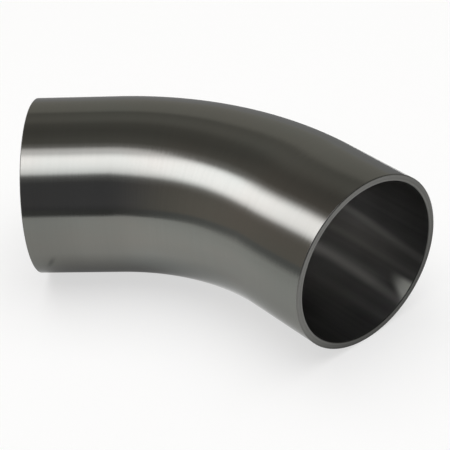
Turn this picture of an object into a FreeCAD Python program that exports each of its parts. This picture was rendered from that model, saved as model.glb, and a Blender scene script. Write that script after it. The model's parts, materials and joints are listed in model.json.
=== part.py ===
"""Forty-five degree weld elbow for sanitary stainless tube.

The elbow is one bent length of tube: a straight inlet end, a bend and a
straight outlet end, all with the same wall, and both ends cut square and
lightly deburred for butt welding. It lies on its side, as it comes to rest.

Lengths are in millimetres and angles in degrees. The origin is the centre of
the inlet's face, +X runs along the inlet's axis into the elbow, the bend turns
towards -Y, and +Z is square to the plane of the bend.
"""
import FreeCAD, Part
import math
import os

# The tube
OUTSIDE_DIAMETER = 38.0
WALL_THICKNESS = 1.5

# The bend, measured on the tube's axis
BEND_RADIUS = 57.0
BEND_ANGLE = 45.0

# The straight length left at each end for the weld
STRAIGHT_LENGTH = 18.0

# Width of the edge break at each rim, inside and outside
EDGE_BREAK = 0.2

# How near a circle's centre must be to an end's centre to belong to that end
SAME_PLACE = 1e-4

OUTER_RADIUS = OUTSIDE_DIAMETER / 2
INNER_RADIUS = OUTER_RADIUS - WALL_THICKNESS

ORIGIN = FreeCAD.Vector(0, 0, 0)
INLET_DIRECTION = FreeCAD.Vector(1, 0, 0)
BEND_CENTRE = FreeCAD.Vector(STRAIGHT_LENGTH, -BEND_RADIUS, 0)
BEND_AXIS = FreeCAD.Vector(0, 0, -1)


def outlet_direction():
    """Direction in which the tube leaves the elbow."""
    angle = math.radians(BEND_ANGLE)
    return FreeCAD.Vector(math.cos(angle), -math.sin(angle), 0)


def outlet_centre():
    """Centre of the outlet's face: the end of the bend, then the straight end."""
    angle = math.radians(BEND_ANGLE)
    from_centre = FreeCAD.Vector(math.sin(angle), math.cos(angle), 0) * BEND_RADIUS
    return BEND_CENTRE + from_centre + outlet_direction() * STRAIGHT_LENGTH


def tube_section():
    """Flat ring across the tube at the inlet's face."""
    outer = Part.Wire(Part.makeCircle(OUTER_RADIUS, ORIGIN, INLET_DIRECTION))
    inner = Part.Wire(Part.makeCircle(INNER_RADIUS, ORIGIN, INLET_DIRECTION))
    return Part.makeFace([outer, inner], "Part::FaceMakerBullseye")


def inlet_end():
    """Straight end that starts at the origin."""
    return tube_section().extrude(INLET_DIRECTION * STRAIGHT_LENGTH)


def bend():
    """Bend, turned from the tube's section about the centre of the bend."""
    section = tube_section()
    section.translate(INLET_DIRECTION * STRAIGHT_LENGTH)
    return section.revolve(BEND_CENTRE, BEND_AXIS, BEND_ANGLE)


def outlet_end():
    """Straight end that goes on from the bend."""
    section = tube_section()
    section.translate(INLET_DIRECTION * STRAIGHT_LENGTH)
    section.rotate(BEND_CENTRE, BEND_AXIS, BEND_ANGLE)
    return section.extrude(outlet_direction() * STRAIGHT_LENGTH)


def rim_edges(tube, centre):
    """The inner and outer circles of the end whose face has this centre."""
    circles = [edge for edge in tube.Edges if isinstance(edge.Curve, Part.Circle)]
    return [edge for edge in circles if edge.Curve.Center.distanceToPoint(centre) < SAME_PLACE]


def elbow():
    """The whole elbow as one solid, with its four rims deburred."""
    tube = inlet_end().fuse([bend(), outlet_end()]).removeSplitter()
    rims = rim_edges(tube, ORIGIN) + rim_edges(tube, outlet_centre())
    deburred = tube.makeChamfer(EDGE_BREAK, rims)
    return deburred.Solids[0]


def main():
    os.makedirs("parts", exist_ok=True)
    elbow().exportStep("parts/elbow.step")


main()
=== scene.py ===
"""Forty-five degree sanitary weld elbow in brushed stainless tube, on a plain pale studio floor.

The elbow is modelled as one bent tube: a ring is drawn along the inlet, spun
through the bend and drawn along the outlet, then given its wall and its
deburred rims. Its steel is polished round the tube, so the polishing lines
follow coordinates that lie along and round the tube as if it were straight.
Lengths are in metres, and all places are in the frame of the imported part.
Angles round the tube go from the inside of the bend up over the tube.
"""
import json
import math

import bpy
from mathutils import Matrix, Vector


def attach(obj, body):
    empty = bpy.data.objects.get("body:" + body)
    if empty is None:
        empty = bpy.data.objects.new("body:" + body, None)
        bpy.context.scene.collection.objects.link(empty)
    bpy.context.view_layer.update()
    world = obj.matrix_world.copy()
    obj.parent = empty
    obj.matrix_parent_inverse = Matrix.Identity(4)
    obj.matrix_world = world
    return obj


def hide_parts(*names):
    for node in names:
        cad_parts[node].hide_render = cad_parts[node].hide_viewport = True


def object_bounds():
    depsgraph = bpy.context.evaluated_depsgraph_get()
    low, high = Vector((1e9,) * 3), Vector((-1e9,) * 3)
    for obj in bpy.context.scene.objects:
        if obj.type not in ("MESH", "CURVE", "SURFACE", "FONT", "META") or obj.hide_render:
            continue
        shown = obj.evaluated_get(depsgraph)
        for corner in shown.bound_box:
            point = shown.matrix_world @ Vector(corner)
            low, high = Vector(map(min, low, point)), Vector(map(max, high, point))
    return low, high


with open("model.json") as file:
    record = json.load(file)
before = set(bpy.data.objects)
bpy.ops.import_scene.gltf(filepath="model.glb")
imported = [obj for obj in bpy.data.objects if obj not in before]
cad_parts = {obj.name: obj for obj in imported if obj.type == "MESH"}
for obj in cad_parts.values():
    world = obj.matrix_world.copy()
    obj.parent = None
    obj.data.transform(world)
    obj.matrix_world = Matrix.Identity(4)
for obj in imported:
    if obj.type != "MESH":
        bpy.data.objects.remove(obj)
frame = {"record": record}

bl_info = {
    "name": "Weld Elbow",
    "version": (1, 0, 0),
    "blender": (4, 5, 0),
    "location": "View3D > Sidebar > Weld Elbow",
    "description": "Models a forty-five degree weld elbow, finishes its steel and lights it",
    "category": "Object",
}

CAD_BOX = [list(corner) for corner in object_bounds()]
MOUNTS = {mount["name"]: mount for mount in frame["record"]["mounts"]}
MILLIMETRE = 0.001
BLACK = (0, 0, 0, 1)
WHITE = (1, 1, 1, 1)


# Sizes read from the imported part

def mount_radius(name):
    """Radius of a round interface, in metres."""
    return MOUNTS[name]["dims"]["r_mm"] * MILLIMETRE


OUTSIDE_RADIUS = mount_radius("inlet_outside")
BORE_RADIUS = mount_radius("inlet_bore")
OUTLET_CENTRE = Vector(MOUNTS["outlet_bore"]["pos_m"])
OUTLET_DIRECTION = Vector(MOUNTS["outlet_bore"]["axis"]).normalized()
BEND_ANGLE = math.acos(OUTLET_DIRECTION.x)

# Both axes cross at the same distance from each end
CENTRE_TO_END = OUTLET_CENTRE.x / (1 + math.cos(BEND_ANGLE))
STRAIGHT_LENGTH = 2 * abs(MOUNTS["inlet_outside"]["pos_m"][0])
BEND_RADIUS = (CENTRE_TO_END - STRAIGHT_LENGTH) / math.tan(BEND_ANGLE / 2)
FLOOR_LEVEL = CAD_BOX[0][2]

# Faces round the tube, and rows of faces along the bend and along each straight end
SIDES = 256
BEND_ROWS = 48
STRAIGHT_ROWS = 4

# The broken edges: rows of faces, profile (0.25 is flat), and how sharp an edge has to be to be broken
EDGE_ROWS = 3
EDGE_PROFILE = 0.25
SHARP_EDGE = math.radians(60)

# Points this close to each other are one
SAME_POINT = 0.0001 * MILLIMETRE

# The attribute that holds each point's place along and across the straightened tube
STRAIGHTENED = "straightened"

# The order of the finishes on the tube
OUTSIDE, BORE, RIM = range(3)


# Finishes

# Noise in the steel, in counts per metre along the tube and across it
FINE_LINES = (5200.0, 55.0, 55.0)
POLISHING_LINES = (1700.0, 24.0, 24.0)
POLISHING_BANDS = (260.0, 14.0, 14.0)
COLOUR_PATCHES = (34.0, 80.0, 80.0)
OUTSIDE_CLOUD = (60.0, 90.0, 90.0)
DRAWN_LINES = (12.0, 900.0, 900.0)
BORE_CLOUD = (70.0, 120.0, 120.0)
RIM_GRAIN = (2000.0, 2000.0, 2000.0)

# How light the steel's reflections stay where it is seen at a slant
SLANT_TINT = 0.75

# Outside steel that is a little warmer or greener than the rest, and a lighter, cooler painted reflection low where
# the bend starts
WARM_STEEL = (0.21, 0.2, 0.182, 1)
GREEN_STEEL = (0.199, 0.209, 0.194, 1)
COOL_REFLECTION = (0.2235, 0.2345, 0.2215, 1)

# How far out of round the outlet end and the bend are, in millimetres, and at which angle
OUTLET_OVAL, OUTLET_WIDEST = 0.55, 113
BEND_OVAL, BEND_NARROWEST = 0.26, 48

# The scuff low on the inlet end: place along, angle round, lean, half length, half width and raggedness
SCUFF_ALONG = 4.2 * MILLIMETRE
SCUFF_ANGLE = math.radians(-25.5)
SCUFF_LEAN = math.radians(62)
SCUFF_REACH = 3.4 * MILLIMETRE
SCUFF_SPREAD = 0.8 * MILLIMETRE
SCUFF_RAGGED = 1.2 * MILLIMETRE

# Painted reflections in the bore, as streaks along it placed at the outlet's rim: angle, slant in degrees per mm of
# depth, reach in degrees, weight
BORE_REFLECTION_STREAKS = (
    (-121.5, 0.16, 5.5, 0.32),
    (-153.8, 0.3, 4.8, 0.225),
    (-141.5, 0.05, 3.6, 0.095),
    (-105.0, 0.05, 6.5, 0.1),
    (-136.0, 0.0, 43.0, 0.118),
)

# Painted reflections as lighter bands deeper in the bore: angle, reach in degrees, depth where each starts and is
# full, weight
DEEP_REFLECTION_BANDS = (
    (-125.5, 8.5, 0.003, 0.014, 0.45),
    (-102, 28, 0.004, 0.024, 0.43),
)

# The bore's lightest streaks, from drawn lines and painted reflections, and its painted highlight patch, as multiples
# of its colour
STREAK_GAIN = (5.1, 5.0, 4.8)
HIGHLIGHT_PATCH_GAIN = (4.15, 4.2, 3.85)

# Lightness of the rim from the bore's edge to the outside edge
RIM_RINGS = (
    (0.0, 0.42),
    (0.1, 0.56),
    (0.2, 0.76),
    (0.3, 0.71),
    (0.42, 0.56),
    (0.55, 0.66),
    (0.7, 0.69),
    (0.84, 0.64),
    (0.93, 0.6),
    (1.0, 0.6),
)


# Studio

# The middle of the stage, under the elbow
STAGE_MIDDLE = Vector((0.04, -0.01, 0.0))

# The floor's size, and how far from the middle its fade to the backdrop starts and ends
FLOOR_SIZE = 20.0
FADE_START, FADE_END = 0.15, 0.32

# Near the elbow the floor shows lighter in reflections, and under the inlet darker: how near, and by how much
CONTACT_REACH = 0.012
CONTACT_LIGHT = 0.35
INLET_SHADE = 1.2

# The strip light: its length and width, how much it tapers, the radius it is bent to and its distance
STRIP_LENGTH, STRIP_WIDTH = 0.88, 0.36
STRIP_TAPER = 0.85
STRIP_BEND_RADIUS = 0.422
STRIP_DISTANCE = 0.4
STRIP_COLOUR = (1.0, 0.985, 1.03, 1.0)

# Where the strip light hangs, and how it is turned about its direction and tilted towards the elbow
STRIP_AZIMUTH = math.radians(-130.7)
STRIP_ELEVATION = math.radians(53.93)
STRIP_TURN = math.radians(30.98)
STRIP_TILT = math.radians(17.54)

# Brightness across the strip light from its lower edge to its upper edge, in its middle and towards its ends
STRIP_MIDDLE = (
    (0.052, 0.0),
    (0.121, 0.022),
    (0.186, 0.08),
    (0.216, 0.2),
    (0.25, 0.395),
    (0.311, 0.755),
    (0.371, 0.935),
    (0.5, 0.99),
    (0.629, 0.985),
    (0.689, 0.9),
    (0.72, 0.785),
    (0.784, 0.33),
    (0.814, 0.125),
    (0.844, 0.065),
    (0.879, 0.05),
    (0.931, 0.035),
    (0.965, 0.018),
    (1.0, 0.012),
)
STRIP_ENDS = (
    (0.0, 0.012),
    (0.035, 0.018),
    (0.069, 0.02),
    (0.104, 0.042),
    (0.138, 0.062),
    (0.164, 0.1),
    (0.19, 0.255),
    (0.242, 0.585),
    (0.293, 0.68),
    (0.345, 0.765),
    (0.397, 0.85),
    (0.5, 0.92),
    (0.552, 0.935),
    (0.603, 0.915),
    (0.655, 0.78),
    (0.698, 0.575),
    (0.728, 0.475),
    (0.784, 0.45),
    (0.836, 0.335),
    (0.862, 0.21),
    (0.883, 0.09),
    (0.905, 0.05),
    (0.931, 0.042),
    (0.965, 0.03),
    (1.0, 0.014),
)

# Light of the room by angle, in degrees from the foot of the backdrop over the ceiling to the front
ROOM_START, ROOM_SPAN = -20, 220
ROOM_LEVELS = (
    (-20, 0.5),
    (0, 0.5),
    (10, 0.49),
    (20, 0.475),
    (31, 0.45),
    (34, 0.44),
    (39, 0.27),
    (43, 0.293),
    (51, 0.316),
    (55, 0.292),
    (61, 0.215),
    (72, 0.185),
    (80, 0.205),
    (87, 0.24),
    (98, 0.25),
    (110, 0.17),
    (135, 0.155),
    (158, 0.165),
    (171, 0.175),
    (180, 0.13),
    (200, 0.12),
)

# Light of the room's left side, and the tints of its front and left
LEFT_LEVEL = 0.375
FRONT_TINT = (1.0, 0.97, 1.05, 1.0)
LEFT_TINT = (1.06, 0.965, 0.88, 1.0)

# Width of the overhead light and its height over the floor
OVERHEAD_WIDTH = 0.8
OVERHEAD_HEIGHT = 0.6

# The camera's place, its three directions and its lens
CAMERA_PLACE = Vector((0.07442757, -0.26752528, 0.18015804))
CAMERA_RIGHT = Vector((0.99435, 0.07733, -0.07277))
CAMERA_UP = Vector((0.0141, 0.58309, 0.81229))
CAMERA_FORWARD = Vector((-0.10525, 0.80872, -0.5787))
LENS_MM = 120.61
SENSOR_MM = 36.0


class ElbowSizes(bpy.types.PropertyGroup):
    """Sizes of the elbow."""

    outside_diameter: bpy.props.FloatProperty(
        name="Outside Diameter",
        description="Diameter over the tube",
        default=2 * OUTSIDE_RADIUS,
        unit="LENGTH",
        subtype="DISTANCE",
    )
    wall: bpy.props.FloatProperty(
        name="Wall",
        description="Thickness of the tube's wall",
        default=OUTSIDE_RADIUS - BORE_RADIUS,
        unit="LENGTH",
        subtype="DISTANCE",
    )
    bend_radius: bpy.props.FloatProperty(
        name="Bend Radius",
        description="Radius of the bend on the tube's axis",
        default=BEND_RADIUS,
        unit="LENGTH",
        subtype="DISTANCE",
    )
    bend_angle: bpy.props.FloatProperty(
        name="Bend Angle",
        description="Angle through which the tube turns",
        default=BEND_ANGLE,
        unit="ROTATION",
        subtype="ANGLE",
    )
    straight_length: bpy.props.FloatProperty(
        name="Straight Length",
        description="Straight tube left at each end for the weld",
        default=STRAIGHT_LENGTH,
        unit="LENGTH",
        subtype="DISTANCE",
    )
    edge_break: bpy.props.FloatProperty(
        name="Edge Break",
        description="Width taken off each rim's edges by deburring",
        default=0.2 * MILLIMETRE,
        unit="LENGTH",
        subtype="DISTANCE",
    )


class ElbowFinish(bpy.types.PropertyGroup):
    """Colours and polish of the elbow's steel."""

    steel: bpy.props.FloatVectorProperty(
        name="Steel",
        description="Colour of the polished steel outside",
        default=(0.203, 0.2075, 0.19),
        subtype="COLOR",
        size=3,
        min=0,
        max=1,
    )
    bore: bpy.props.FloatVectorProperty(
        name="Bore",
        description="Colour of the steel inside the bore",
        default=(0.173, 0.175, 0.1755),
        subtype="COLOR",
        size=3,
        min=0,
        max=1,
    )
    rim: bpy.props.FloatVectorProperty(
        name="Rim",
        description="Colour of the faced rims",
        default=(0.19, 0.19, 0.18),
        subtype="COLOR",
        size=3,
        min=0,
        max=1,
    )
    polish: bpy.props.FloatProperty(
        name="Polish",
        description="Roughness of the polished outside",
        default=0.095,
        min=0,
        max=1,
    )
    line_depth: bpy.props.FloatProperty(
        name="Line Depth",
        description="Depth of the polishing lines",
        default=0.025 * MILLIMETRE,
        unit="LENGTH",
        subtype="DISTANCE",
    )


class StudioLight(bpy.types.PropertyGroup):
    """Light and floor of the studio."""

    floor: bpy.props.FloatVectorProperty(
        name="Floor",
        description="Colour of the floor",
        default=(0.357, 0.357, 0.357),
        subtype="COLOR",
        size=3,
        min=0,
        max=1,
    )
    floor_far: bpy.props.FloatVectorProperty(
        name="Floor Far",
        description="Colour that the floor fades to away from the elbow",
        default=(0.242, 0.242, 0.24),
        subtype="COLOR",
        size=3,
        min=0,
        max=1,
    )
    floor_glow: bpy.props.FloatProperty(
        name="Floor Glow",
        description="What the floor adds of its own for the camera and for reflections",
        default=0.62,
        min=0,
    )
    room: bpy.props.FloatVectorProperty(
        name="Room",
        description="Colour of the room's light",
        default=(0.98, 0.965, 0.895),
        subtype="COLOR",
        size=3,
        min=0,
        max=1,
    )
    strip: bpy.props.FloatProperty(
        name="Strip",
        description="Brightness of the strip light",
        default=4.15,
        min=0,
    )
    overhead: bpy.props.FloatProperty(
        name="Overhead",
        description="Power of the overhead light",
        default=4.35,
        min=0,
        subtype="POWER",
    )


class Value:
    """A number or colour in a node tree, with the arithmetic that the finishes use."""

    def __init__(self, tree, socket):
        self.tree = tree
        self.socket = socket

    def math(self, operation, *others):
        """The result of a Math node on this value and others."""
        node = self.tree.nodes.new("ShaderNodeMath")
        node.operation = operation
        for socket, value in zip(node.inputs, (self, *others)):
            feed(self.tree, socket, value)
        return Value(self.tree, node.outputs[0])

    def __add__(self, other):
        return self.math("ADD", other)

    def __radd__(self, other):
        return self.math("ADD", other)

    def __sub__(self, other):
        return self.math("SUBTRACT", other)

    def __rsub__(self, other):
        return (self * -1) + other

    def __mul__(self, other):
        return self.math("MULTIPLY", other)

    def __rmul__(self, other):
        return self.math("MULTIPLY", other)

    def __truediv__(self, other):
        return self.math("DIVIDE", other)

    def clamped(self):
        """The value held between 0 and 1."""
        held = self.math("MAXIMUM", 0.0)
        return held.math("MINIMUM", 1.0)

    def other(self, name):
        """Another output of the same node."""
        return Value(self.tree, self.socket.node.outputs[name])


def feed(tree, socket, value):
    """Links a value to a socket, or sets the socket to a plain number, vector or colour."""
    if isinstance(value, Value):
        tree.links.new(value.socket, socket)
    else:
        socket.default_value = value


def set_stops(ramp, stops):
    """Gives a colour ramp its stops, each a place from 0 to 1 and a colour."""
    while len(ramp.elements) > 1:
        ramp.elements.remove(ramp.elements[-1])
    ramp.elements[0].position, ramp.elements[0].color = stops[0]
    for place, colour in stops[1:]:
        ramp.elements.new(place).color = colour


class Nodes:
    """A node tree that is filled by expressions."""

    def __init__(self, tree):
        self.tree = tree
        tree.nodes.clear()

    def node(self, kind, settings=None, inputs=None):
        """Adds a node, sets it up, feeds its sockets and returns its first output."""
        node = self.tree.nodes.new(kind)
        for name, value in (settings or {}).items():
            if name == "stops":
                set_stops(node.color_ramp, value)
            else:
                setattr(node, name, value)
        for name, value in (inputs or {}).items():
            feed(self.tree, node.inputs[name], value)
        if node.outputs:
            return Value(self.tree, node.outputs[0])
        return None

    def mix(self, low, high, amount):
        """A colour between two colours."""
        mixed = self.node("ShaderNodeMix", {"data_type": "RGBA"}, {0: amount, 6: low, 7: high})
        return Value(self.tree, mixed.socket.node.outputs[2])

    def greys(self, value, levels):
        """A grey read off a table of places from 0 to 1 and levels."""
        stops = [(place, grey(level)) for place, level in levels]
        return self.node("ShaderNodeValToRGB", {"stops": stops}, {"Fac": value})

    def step(self, value, start, end):
        """0 before the start and 1 past the end, with a smooth rise between them."""
        settings = {"interpolation_type": "SMOOTHSTEP"}
        return self.node("ShaderNodeMapRange", settings, {"Value": value, "From Min": start, "From Max": end})

    def ridge(self, value, middle, reach):
        """1 at the middle, falling smoothly to 0 at the reach on either side."""
        return 1 - self.step((value - middle).math("ABSOLUTE"), 0.0, reach)

    def step_round(self, round_tube, start, end):
        """A step between two angles round the tube, in degrees."""
        return self.step(round_tube, math.radians(start), math.radians(end))

    def ridge_round(self, round_tube, middle, reach):
        """A ridge at an angle round the tube, in degrees."""
        return self.ridge(round_tube, math.radians(middle), math.radians(reach))

    def noise(self, place, stretch, detail=2.0):
        """Noise from 0 to 1 at a place, stretched by counts per metre along each axis."""
        stretched = self.node("ShaderNodeMapping", inputs={"Vector": place, "Scale": stretch})
        return self.node("ShaderNodeTexNoise", inputs={"Vector": stretched, "Scale": 1.0, "Detail": detail})

    def split(self, vector):
        """The three parts of a vector."""
        x = self.node("ShaderNodeSeparateXYZ", inputs={0: vector})
        return x, x.other("Y"), x.other("Z")

    def object_place(self):
        """The place in the object's own coordinates."""
        return self.node("ShaderNodeTexCoord").other("Object")

    def straightened(self):
        """The place along and across the straightened tube."""
        return self.node("ShaderNodeAttribute", {"attribute_name": STRAIGHTENED}).other("Vector")

    def along_and_round(self, place):
        """Distance along the tube, and angle round it from the inside of the bend upwards."""
        along, y, z = self.split(place)
        return along, z.math("ARCTAN2", y * -1)

    def across_and_round(self, place):
        """Distance from the tube's axis, and angle round it from the inside of the bend upwards."""
        _, y, z = self.split(place)
        return (y * y + z * z).math("SQRT"), z.math("ARCTAN2", y * -1)

    def steel(self, material, colour, roughness, metallic, normal=None):
        """Ends the material in a steel shader."""
        inputs = {
            "Base Color": colour,
            "Metallic": metallic,
            "Roughness": roughness,
            "Specular Tint": grey(SLANT_TINT),
        }
        if normal:
            inputs["Normal"] = normal
        shader = self.node("ShaderNodeBsdfPrincipled", inputs=inputs)
        self.node("ShaderNodeOutputMaterial", inputs={"Surface": shader})
        return material


def grey(level):
    """A plain grey, with full alpha."""
    return (level, level, level, 1.0)


def scaled(colour, factor):
    """A colour made lighter or darker, with full alpha."""
    return (*(channel * factor for channel in colour), 1.0)


def gained(colour, gains):
    """A colour with each channel made lighter by its own factor, with full alpha."""
    return (*(channel * gain for channel, gain in zip(colour, gains)), 1.0)


def new_material(name):
    """A material and its empty node tree."""
    material = bpy.data.materials.new(name)
    material.use_nodes = True
    return material, Nodes(material.node_tree)


def polished_outside(finish, length):
    """Steel polished round the tube: fine lines across its length and broader lighter and darker bands."""
    material, nodes = new_material("polished_outside")
    place = nodes.straightened()
    along, round_tube = nodes.along_and_round(place)
    fine = nodes.noise(place, FINE_LINES)
    lines = nodes.noise(place, POLISHING_LINES)
    bands = nodes.noise(place, POLISHING_BANDS)
    cloud = nodes.noise(place, OUTSIDE_CLOUD, detail=3.0)
    streak = fine * 0.3 + lines * 0.5 + bands * 0.2
    scuff = leaning_scuff(nodes, along, round_tube, cloud)
    colour = nodes.mix(scaled(finish.steel, 0.86), scaled(finish.steel, 1.14), streak)
    colour = patched(nodes, colour, place, along, round_tube)
    colour = nodes.mix(colour, scaled(finish.steel, 0.3), scuff * 0.7)
    # Painted shade: darker at both ends, the inlet end most on the inside of the bend
    colour = nodes.mix(colour, scaled(finish.steel, 0.5), painted_end_shade(nodes, along, round_tube, length))
    roughness = finish.polish - 0.03 + streak * 0.04 + cloud * 0.02 + scuff * 0.1
    bump = nodes.node(
        "ShaderNodeBump",
        inputs={
            "Strength": 1.0,
            "Distance": finish.line_depth,
            "Height": fine * 0.6 + lines * 0.4,
            "Normal": out_of_round(nodes, along, round_tube, length),
        },
    )
    return nodes.steel(material, colour, roughness, metallic=1.0, normal=bump)


def patched(nodes, colour, place, along, round_tube):
    """The colour with faint warm and green patches, and a painted reflection low where the bend starts: a lighter,
    cooler patch.
    """
    patch = nodes.step(nodes.noise(place, COLOUR_PATCHES, detail=3.0), start=0.3, end=0.7)
    colour = nodes.mix(colour, nodes.mix(WARM_STEEL, GREEN_STEEL, patch), 0.55)
    # Painted reflection: a lighter, cooler patch low where the bend starts
    cool_round = nodes.ridge_round(round_tube, middle=-27, reach=24)
    cool_reflection = cool_round * nodes.ridge(along, middle=0.034, reach=0.03)
    return nodes.mix(colour, COOL_REFLECTION, cool_reflection * 0.9)


def leaning_scuff(nodes, along, round_tube, cloud):
    """A small ragged scuff that leans across the polishing lines."""
    ahead = along - SCUFF_ALONG
    beside = (round_tube - SCUFF_ANGLE) * OUTSIDE_RADIUS
    length_wise = ahead * math.cos(SCUFF_LEAN) + beside * math.sin(SCUFF_LEAN)
    width_wise = beside * math.cos(SCUFF_LEAN) - ahead * math.sin(SCUFF_LEAN)
    core = nodes.ridge(width_wise + cloud * SCUFF_RAGGED, middle=SCUFF_RAGGED / 2, reach=SCUFF_SPREAD)
    return nodes.ridge(length_wise, middle=0.0, reach=SCUFF_REACH) * core


def painted_end_shade(nodes, along, round_tube, length):
    """How much painted shade darkens the ends, the inlet's most on the inside of the bend."""
    inlet_end = 1 - nodes.step(along, start=0.003, end=0.016)
    near_inlet = 1 - nodes.step(along, start=0.016, end=0.03)
    outlet_end = nodes.step(along, start=length - 0.02, end=length - 0.003)
    inside = nodes.ridge_round(round_tube, middle=-6, reach=60)
    return (inlet_end * 0.14 + near_inlet * 0.18) * inside + inlet_end * 0.06 + outlet_end * 0.2


def oval(round_tube, degrees):
    """1 at an angle round the tube and straight across from it, and -1 a quarter turn from both."""
    return ((round_tube - math.radians(degrees)) * 2).math("COSINE")


def out_of_round(nodes, along, round_tube, length):
    """The slope of the front of the steel where bending and cutting left the tube a little oval."""
    at_outlet = nodes.step(along, start=length - 0.019, end=length)
    at_bend = nodes.ridge(along, middle=0.063, reach=0.019)
    outlet_oval = oval(round_tube, OUTLET_WIDEST) * at_outlet
    bend_oval = oval(round_tube, BEND_NARROWEST) * at_bend
    front = nodes.step_round(round_tube, start=-95, end=-30) * (1 - nodes.step_round(round_tube, start=110, end=165))
    height = (outlet_oval * OUTLET_OVAL - bend_oval * BEND_OVAL) * front
    return nodes.node("ShaderNodeBump", inputs={"Strength": 1.0, "Distance": MILLIMETRE, "Height": height})


def drawn_bore(finish, length):
    """The duller steel inside, with fine drawn lines, painted reflections as lighter streaks along the tube, painted
    shade, and a painted highlight patch at the outlet.
    """
    material, nodes = new_material("drawn_bore")
    place = nodes.straightened()
    along, round_tube = nodes.along_and_round(place)
    depth = length - along
    drawn = nodes.noise(place, DRAWN_LINES)
    cloud = nodes.noise(place, BORE_CLOUD, detail=3.0)
    rough_highlight_patch = painted_highlight_patch(nodes, depth, round_tube)
    # Painted reflections: lighter streaks and bands along the bore, with the drawn lines and a random cloud
    streaks = drawn * 0.15 + painted_bore_reflections(nodes, depth, round_tube) + cloud * 0.06
    colour = nodes.mix(scaled(finish.bore, 0.7), gained(finish.bore, STREAK_GAIN), streaks)
    # Painted shade: darker at the outlet's mouth, on the far side and at the bottom
    colour = nodes.mix(BLACK, colour, bore_shade(nodes, depth, round_tube))
    # Painted highlight: a lighter patch at the outlet's mouth, which is also rougher
    colour = nodes.mix(colour, gained(finish.bore, HIGHLIGHT_PATCH_GAIN), rough_highlight_patch)
    roughness = 0.34 + drawn * 0.06 + cloud * 0.06 + rough_highlight_patch * 0.2
    return nodes.steel(material, colour, roughness, metallic=0.85)


def painted_bore_reflections(nodes, depth, round_tube):
    """Painted reflections in the bore: streaks along the tube, and lighter bands deeper in."""
    streaks = 0.0
    for degrees, slant, reach, weight in BORE_REFLECTION_STREAKS:
        middle = math.radians(degrees) - depth * math.radians(slant) / MILLIMETRE
        streaks += nodes.ridge(round_tube, middle, math.radians(reach)) * weight
    for degrees, reach, start, full, weight in DEEP_REFLECTION_BANDS:
        streaks += nodes.ridge_round(round_tube, degrees, reach) * nodes.step(depth, start, full) * weight
    return streaks


def bore_shade(nodes, depth, round_tube):
    """How much light the bore keeps: less at the outlet's mouth, on the far side and at the bottom."""
    mouth = nodes.step(depth, start=0.0, end=0.011)
    deep = nodes.step(depth, start=0.003, end=0.014)
    far_side = 1 - nodes.step_round(round_tube, start=-165, end=-156)
    far_side = far_side + nodes.step_round(round_tube, start=90, end=150)
    bottom = nodes.ridge_round(round_tube, middle=-54, reach=26)
    return (0.56 + mouth * 0.44 - far_side * deep * 0.3) * (1 - bottom * 0.32)


def painted_highlight_patch(nodes, depth, round_tube):
    """A painted highlight patch at the outlet's mouth, narrower with depth."""
    top = math.radians(-126.4) - depth * math.radians(1.6) / MILLIMETRE
    lower_edge = nodes.step_round(round_tube, start=-138.5, end=-134)
    upper_edge = 1 - nodes.step_round(round_tube - top, start=0.0, end=6.5)
    inner_edge = 1 - nodes.step(depth, start=0.0012, end=0.0068)
    return lower_edge * upper_edge * inner_edge


def faced_rim(finish, bore_radius, wall):
    """The square-cut rims: bands of lightness across them, darker at their edges, fine grain, and painted shade round
    their bottom towards the outside of the bend.
    """
    material, nodes = new_material("faced_rim")
    place = nodes.straightened()
    across, round_tube = nodes.across_and_round(place)
    out = (across - bore_radius) / wall
    rings = nodes.greys(out, RIM_RINGS)
    grain = nodes.noise(place, RIM_GRAIN)
    # Painted shade: the rim is darker round its bottom towards the outside of the bend, most at its outside edge
    nearness = (round_tube - math.radians(-112)).math("COSINE")
    painted_shade = nodes.step(nearness, start=-0.087, end=0.866)
    edge = nodes.step(out, start=0.45, end=0.9)
    level = rings * (1 - painted_shade * 0.45) * (1 - edge * painted_shade * 0.5) * (0.92 + grain * 0.16)
    colour = nodes.mix(BLACK, scaled(finish.rim, 1.3), level)
    return nodes.steel(material, colour, roughness=0.26 + grain * 0.1, metallic=1.0)


def straightened_place(point, sizes):
    """Where a point of the bent tube lies once the tube is straightened: along it, and across it."""
    straight = sizes.straight_length
    radius = sizes.bend_radius
    centre = Vector((straight, -radius, 0))
    from_centre = point - centre
    turned = math.atan2(from_centre.x, from_centre.y)
    if turned <= 0:
        return Vector(point)
    if turned < sizes.bend_angle:
        along = straight + turned * radius
        return Vector((along, math.hypot(from_centre.x, from_centre.y) - radius, point.z))
    back = Matrix.Rotation(sizes.bend_angle, 4, "Z") @ from_centre
    return Vector((straight + sizes.bend_angle * radius + back.x, back.y - radius, point.z))


def keep_straightened_places(piece, sizes):
    """Stores each point's place on the straightened tube, which the polishing lines follow."""
    attribute = piece.data.attributes.new(STRAIGHTENED, "FLOAT_VECTOR", "POINT")
    for point, item in zip(piece.data.vertices, attribute.data):
        item.vector = straightened_place(point.co, sizes)


def apply_modifier(piece, kind, **settings):
    """Adds a modifier, sets it and applies it."""
    bpy.ops.object.modifier_add(type=kind)
    modifier = piece.modifiers[-1]
    for name, value in settings.items():
        setattr(modifier, name, value)
    bpy.ops.object.modifier_apply(modifier=modifier.name)


def draw_along(step, rows):
    """Extrudes the selected ring in equal rows."""
    for _ in range(rows):
        bpy.ops.mesh.extrude_region_move(TRANSFORM_OT_translate={"value": step})


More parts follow.
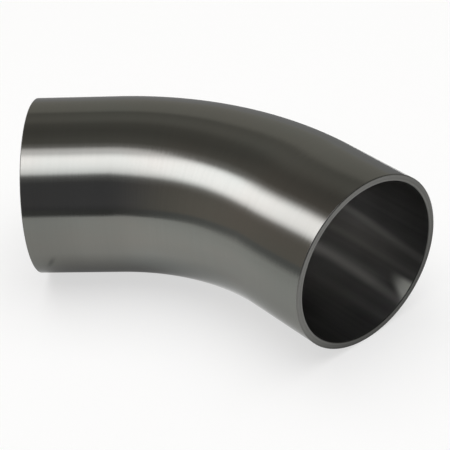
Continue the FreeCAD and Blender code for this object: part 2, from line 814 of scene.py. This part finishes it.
class ELBOW_OT_bend_tube(bpy.types.Operator):
    """Model the elbow as one bent tube with its wall and rims, and finish its steel"""

    bl_idname = "elbow.bend_tube"
    bl_label = "Bend Tube"

    def execute(self, context):
        sizes = context.scene.elbow_sizes
        bpy.ops.object.select_all(action="DESELECT")
        bpy.ops.mesh.primitive_circle_add(
            vertices=SIDES,
            radius=sizes.outside_diameter / 2,
            fill_type="NOTHING",
            rotation=(0, math.radians(90), 0),
        )
        piece = context.object
        piece.name = "bent_tube"
        piece.data.name = "bent_tube"
        bpy.ops.object.transform_apply()
        self.draw_path(sizes)
        self.give_wall(piece, sizes)
        keep_straightened_places(piece, sizes)
        self.dress(piece, sizes, context.scene.elbow_finish)
        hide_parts("elbow")
        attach(piece, "root")
        return {"FINISHED"}

    def draw_path(self, sizes):
        """Draws the ring along the inlet, round the bend and along the outlet."""
        row = sizes.straight_length / STRAIGHT_ROWS
        outlet = Vector((math.cos(sizes.bend_angle), -math.sin(sizes.bend_angle), 0))
        bpy.ops.object.mode_set(mode="EDIT")
        bpy.ops.mesh.select_all(action="SELECT")
        draw_along(Vector((row, 0, 0)), STRAIGHT_ROWS)
        bpy.ops.mesh.spin(
            steps=BEND_ROWS,
            angle=sizes.bend_angle,
            center=(sizes.straight_length, -sizes.bend_radius, 0),
            axis=(0, 0, 1),
        )
        draw_along(outlet * row, STRAIGHT_ROWS)
        bpy.ops.mesh.select_all(action="SELECT")
        bpy.ops.mesh.remove_doubles(threshold=SAME_POINT)
        bpy.ops.mesh.normals_make_consistent(inside=False)
        bpy.ops.object.mode_set(mode="OBJECT")

    def give_wall(self, piece, sizes):
        """Thickens the tube inwards and breaks the edges of its rims."""
        apply_modifier(piece, "SOLIDIFY", thickness=sizes.wall, offset=-1, use_even_offset=True)
        bpy.ops.object.shade_smooth()
        apply_modifier(
            piece,
            "BEVEL",
            width=sizes.edge_break,
            segments=EDGE_ROWS,
            profile=EDGE_PROFILE,
            limit_method="ANGLE",
            angle_limit=SHARP_EDGE,
            harden_normals=True,
        )

    def dress(self, piece, sizes, finish):
        """Gives the outside, the bore and the rims their own steel."""
        bore_radius = sizes.outside_diameter / 2 - sizes.wall
        middle = bore_radius + sizes.wall / 2
        length = 2 * sizes.straight_length + sizes.bend_angle * sizes.bend_radius
        piece.data.materials.append(polished_outside(finish, length))
        piece.data.materials.append(drawn_bore(finish, length))
        piece.data.materials.append(faced_rim(finish, bore_radius, sizes.wall))
        for face in piece.data.polygons:
            place = straightened_place(face.center, sizes)
            if place.x < sizes.edge_break or place.x > length - sizes.edge_break:
                face.material_index = RIM
            elif math.hypot(place.y, place.z) < middle:
                face.material_index = BORE
            else:
                face.material_index = OUTSIDE


class ELBOW_OT_set_stage(bpy.types.Operator):
    """Set the pale floor, the soft light and the camera"""

    bl_idname = "elbow.set_stage"
    bl_label = "Set Stage"

    def execute(self, context):
        light = context.scene.studio_light
        self.lay_floor(light)
        self.light_room(context.scene, light)
        self.hang_strip(light)
        self.hang_overhead(context.scene, light)
        self.stand_dark_lips()
        self.place_camera(context.scene)
        context.scene.view_settings.view_transform = "Standard"
        return {"FINISHED"}

    def lay_floor(self, light):
        """A floor that is white round the elbow and fades to the grey of the backdrop further off."""
        bpy.ops.object.select_all(action="DESELECT")
        bpy.ops.mesh.primitive_plane_add(size=FLOOR_SIZE, location=(0, 0, FLOOR_LEVEL))
        floor = bpy.context.object
        floor.name = "floor"
        bpy.ops.object.transform_apply()
        material, nodes = new_material("pale_floor")
        place = nodes.object_place()
        middle = (STAGE_MIDDLE.x, STAGE_MIDDLE.y, FLOOR_LEVEL)
        away = nodes.node("ShaderNodeVectorMath", {"operation": "DISTANCE"}, {0: place, 1: middle}).other("Value")
        fade = nodes.step(away, start=FADE_START, end=FADE_END)
        colour = nodes.mix((*light.floor, 1.0), (*light.floor_far, 1.0), fade)
        matt = nodes.node("ShaderNodeBsdfDiffuse", inputs={"Color": colour})
        path = nodes.node("ShaderNodeLightPath")
        mirrored = path.other("Is Glossy Ray") + path.other("Is Transmission Ray")
        seen = path.other("Is Camera Ray") + mirrored * self.reflected_floor(nodes, place)
        # A mix can't pass 1, so it goes up to the colour of the brightest place
        brightest = 1 + CONTACT_LIGHT
        gain = light.floor_glow / light.floor[0] * brightest
        bright = nodes.mix(scaled(light.floor, gain), scaled(light.floor_far, gain), fade)
        lit = nodes.mix(BLACK, bright, seen / brightest)
        glow = nodes.node("ShaderNodeEmission", inputs={"Color": lit, "Strength": 1.0})
        both = nodes.node("ShaderNodeAddShader", inputs={0: matt, 1: glow})
        nodes.node("ShaderNodeOutputMaterial", inputs={"Surface": both})
        floor.data.materials.append(material)

    def reflected_floor(self, nodes, place):
        """Brightness of the floor in reflections: it falls off to the left, and changes under the elbow."""
        near = nodes.node("ShaderNodeAmbientOcclusion", {"samples": 8}, {"Distance": CONTACT_REACH}).other("AO")
        close = 1 - near
        x, _, _ = nodes.split(place)
        leftwards = x * -1
        under_inlet = 1 - nodes.step(x, start=0.02, end=0.045)
        contact = 1 + close * CONTACT_LIGHT - close * under_inlet * INLET_SHADE
        left = ((leftwards + 0.01) / 0.12).clamped()
        far_left = nodes.step(leftwards, start=0.06, end=0.14)
        return contact * (1 - left * 0.3) * (1 - far_left * 0.32)

    def light_room(self, scene, light):
        """The room, from the backdrop over the ceiling to the dark side behind the camera."""
        world = bpy.data.worlds.new("studio_room")
        scene.world = world
        world.use_nodes = True
        nodes = Nodes(world.node_tree)
        x, y, z = nodes.split(nodes.node("ShaderNodeTexCoord").other("Generated"))
        over = z.math("ARCTAN2", y) * (180 / math.pi)
        leftwards = x * -1
        levels = [((degrees - ROOM_START) / ROOM_SPAN, level) for degrees, level in ROOM_LEVELS]
        level = nodes.greys((over - ROOM_START) / ROOM_SPAN, levels)
        # The left side starts nearer to the middle over the elbow and at the front than at the backdrop
        onset = 0.45 - nodes.step(over, start=60.0, end=90.0) * 0.08 - nodes.step(over, start=90.0, end=150.0) * 0.13
        left = ((leftwards - onset) / 0.63).clamped()
        # The corner over the backdrop's left end is a little darker
        corner = ((leftwards - 0.25) / 0.2).clamped() * nodes.ridge(over, middle=56.0, reach=14.0)
        level = (level * (1 - left) + left * LEFT_LEVEL) * (1 - corner * 0.12)
        tint = nodes.mix((*light.room, 1.0), FRONT_TINT, nodes.step(over, start=120.0, end=150.0))
        tint = nodes.mix(tint, LEFT_TINT, ((leftwards - 0.25) / 0.4).clamped())
        glow = nodes.node("ShaderNodeBackground", inputs={"Color": nodes.mix(BLACK, tint, level), "Strength": 1.0})
        nodes.node("ShaderNodeOutputWorld", inputs={"Surface": glow})

    def hang_strip(self, light):
        """A long bent strip light above and to the left of the camera, softer towards its edges."""
        bpy.ops.object.select_all(action="DESELECT")
        bpy.ops.mesh.primitive_grid_add(x_subdivisions=64, y_subdivisions=2, size=1.0)
        strip = bpy.context.object
        strip.name = "strip_light"
        strip.scale = (STRIP_LENGTH, STRIP_WIDTH, 1)
        bpy.ops.object.transform_apply()
        bend = STRIP_LENGTH / STRIP_BEND_RADIUS
        apply_modifier(strip, "SIMPLE_DEFORM", deform_method="TAPER", deform_axis="X", factor=STRIP_TAPER)
        apply_modifier(strip, "SIMPLE_DEFORM", deform_method="BEND", deform_axis="Z", angle=bend)
        material, nodes = new_material("strip_glow")
        clear = nodes.node("ShaderNodeBsdfTransparent")
        glow = nodes.node("ShaderNodeEmission", inputs={"Color": STRIP_COLOUR, "Strength": light.strip})
        faded = nodes.node("ShaderNodeMixShader", inputs={0: self.strip_profile(nodes), 1: clear, 2: glow})
        nodes.node("ShaderNodeOutputMaterial", inputs={"Surface": faded})
        strip.data.materials.append(material)
        strip.matrix_world = self.strip_place()
        self.show_in_reflections_only(strip)

    def strip_profile(self, nodes):
        """Brightness of the strip light by the place on it, from 0 to 1."""
        along, across, _ = nodes.split(nodes.node("ShaderNodeTexCoord").other("UV"))
        middle = nodes.greys(across, STRIP_MIDDLE)
        end = nodes.greys(across, STRIP_ENDS)
        left_end = nodes.step(along, start=0.41, end=0.557)
        right_end = 1 - nodes.step(along, start=0.227, end=0.315)
        ends = left_end + right_end * 0.5
        fade = nodes.step(along, start=0.0, end=0.1) * (1 - nodes.step(along, start=0.78, end=1.0))
        brighter = 1 + nodes.ridge(along, middle=0.53, reach=0.05) * 0.06
        return (middle * (1 - ends) + end * ends) * fade * brighter

    def strip_place(self):
        """Where the strip light hangs, turned and tilted towards the elbow."""
        towards = Vector(
            (
                math.sin(STRIP_AZIMUTH) * math.cos(STRIP_ELEVATION),
                math.cos(STRIP_AZIMUTH) * math.cos(STRIP_ELEVATION),
                math.sin(STRIP_ELEVATION),
            )
        )
        level = Vector((0, 0, 1)).cross(towards).normalized()
        upright = towards.cross(level)
        along = level * math.cos(STRIP_TURN) + upright * math.sin(STRIP_TURN)
        width = towards.cross(along)
        tilted = along * math.cos(STRIP_TILT) + towards * math.sin(STRIP_TILT)
        facing = tilted.cross(width).normalized()
        turned = Matrix((tilted, width, facing)).transposed().to_4x4()
        return Matrix.Translation(STAGE_MIDDLE + towards * STRIP_DISTANCE) @ turned

    def stand_dark_lips(self):
        """Two low dark walls: round the front and left, and close behind the elbow."""
        self.stand_lip(
            "front_lip",
            radius=0.19,
            height=0.03,
            side=(-0.5, -1.0, 0.0),
            fade=(-0.03, 0.1),
            level=self.front_level,
        )
        self.stand_lip(
            "back_lip",
            radius=0.075,
            height=0.04,
            side=(0.1, 1.0, 0.0),
            fade=(-0.02, 0.035),
            level=self.back_level,
        )

    def front_level(self, nodes, place):
        """Brightness of the front lip: it rises to the left, and most at its foot there."""
        x, _, z = nodes.split(place)
        leftwards = x * -1
        foot = (leftwards - 0.06).clamped() * (1 - nodes.step(z, start=0.0, end=0.016))
        toe = nodes.ridge(leftwards, middle=0.069, reach=0.025) * (1 - nodes.step(z, start=0.001, end=0.01))
        return 0.05 + (leftwards * 1.5).clamped() + foot * 1.6 + toe * 0.5

    def back_level(self, nodes, place):
        """Brightness of the back lip: it rises with height."""
        _, _, z = nodes.split(place)
        return 0.2 + z * 7.5

    def stand_lip(self, name, radius, height, side, fade, level):
        """A round wall on the floor, dark on one side of the elbow and clear on the other."""
        bpy.ops.object.select_all(action="DESELECT")
        bpy.ops.mesh.primitive_circle_add(vertices=96, radius=radius, fill_type="NOTHING")
        lip = bpy.context.object
        lip.name = name
        bpy.ops.object.mode_set(mode="EDIT")
        bpy.ops.mesh.select_all(action="SELECT")
        draw_along(Vector((0, 0, height)), 1)
        bpy.ops.object.mode_set(mode="OBJECT")
        lip.location = (STAGE_MIDDLE.x, STAGE_MIDDLE.y, FLOOR_LEVEL)
        material, nodes = new_material(name)
        place = nodes.object_place()
        towards = nodes.node("ShaderNodeVectorMath", {"operation": "DOT_PRODUCT"}, {0: place, 1: side}).other("Value")
        clear = nodes.node("ShaderNodeBsdfTransparent")
        dim = nodes.mix(BLACK, WHITE, level(nodes, place))
        glow = nodes.node("ShaderNodeEmission", inputs={"Color": dim, "Strength": 1.0})
        start, end = fade
        seen = nodes.node("ShaderNodeMixShader", inputs={0: nodes.step(towards, start, end), 1: clear, 2: glow})
        nodes.node("ShaderNodeOutputMaterial", inputs={"Surface": seen})
        lip.data.materials.append(material)
        self.show_in_reflections_only(lip)

    def show_in_reflections_only(self, item):
        """Hides a part of the stage from the camera and from matt surfaces, and takes away its shadow."""
        item.visible_camera = False
        item.visible_diffuse = False
        item.visible_shadow = False

    def hang_overhead(self, scene, light):
        """A broad soft light over the elbow, which reflections don't show."""
        lamp = bpy.data.lights.new("overhead", "AREA")
        lamp.shape = "SQUARE"
        lamp.size = OVERHEAD_WIDTH
        lamp.energy = light.overhead
        overhead = bpy.data.objects.new("overhead", lamp)
        scene.collection.objects.link(overhead)
        overhead.location = (STAGE_MIDDLE.x, STAGE_MIDDLE.y, FLOOR_LEVEL + OVERHEAD_HEIGHT)
        overhead.visible_glossy = False
        overhead.visible_camera = False

    def place_camera(self, scene):
        """The camera of the photograph."""
        data = bpy.data.cameras.new("camera")
        data.lens = LENS_MM
        data.sensor_width = SENSOR_MM
        camera = bpy.data.objects.new("camera", data)
        scene.collection.objects.link(camera)
        turn = Matrix((CAMERA_RIGHT, CAMERA_UP, -CAMERA_FORWARD)).transposed().to_4x4()
        camera.matrix_world = Matrix.Translation(CAMERA_PLACE) @ turn
        scene.camera = camera


class ELBOW_PT_panel(bpy.types.Panel):
    """Buttons that make the elbow and its stage"""

    bl_idname = "ELBOW_PT_panel"
    bl_label = "Weld Elbow"
    bl_space_type = "VIEW_3D"
    bl_region_type = "UI"
    bl_category = "Weld Elbow"

    def draw(self, context):
        layout = self.layout
        for group in (context.scene.elbow_sizes, context.scene.elbow_finish, context.scene.studio_light):
            for name in group.__annotations__:
                layout.prop(group, name)
        for operator in (ELBOW_OT_bend_tube, ELBOW_OT_set_stage):
            layout.operator(operator.bl_idname)


CLASSES = (
    ElbowSizes,
    ElbowFinish,
    StudioLight,
    ELBOW_OT_bend_tube,
    ELBOW_OT_set_stage,
    ELBOW_PT_panel,
)


def register():
    for item in CLASSES:
        bpy.utils.register_class(item)
    bpy.types.Scene.elbow_sizes = bpy.props.PointerProperty(type=ElbowSizes)
    bpy.types.Scene.elbow_finish = bpy.props.PointerProperty(type=ElbowFinish)
    bpy.types.Scene.studio_light = bpy.props.PointerProperty(type=StudioLight)


def unregister():
    del bpy.types.Scene.studio_light
    del bpy.types.Scene.elbow_finish
    del bpy.types.Scene.elbow_sizes
    for item in reversed(CLASSES):
        bpy.utils.unregister_class(item)


def main():
    register()
    bpy.ops.elbow.bend_tube()
    bpy.ops.elbow.set_stage()


if __name__ == "__main__":
    main()
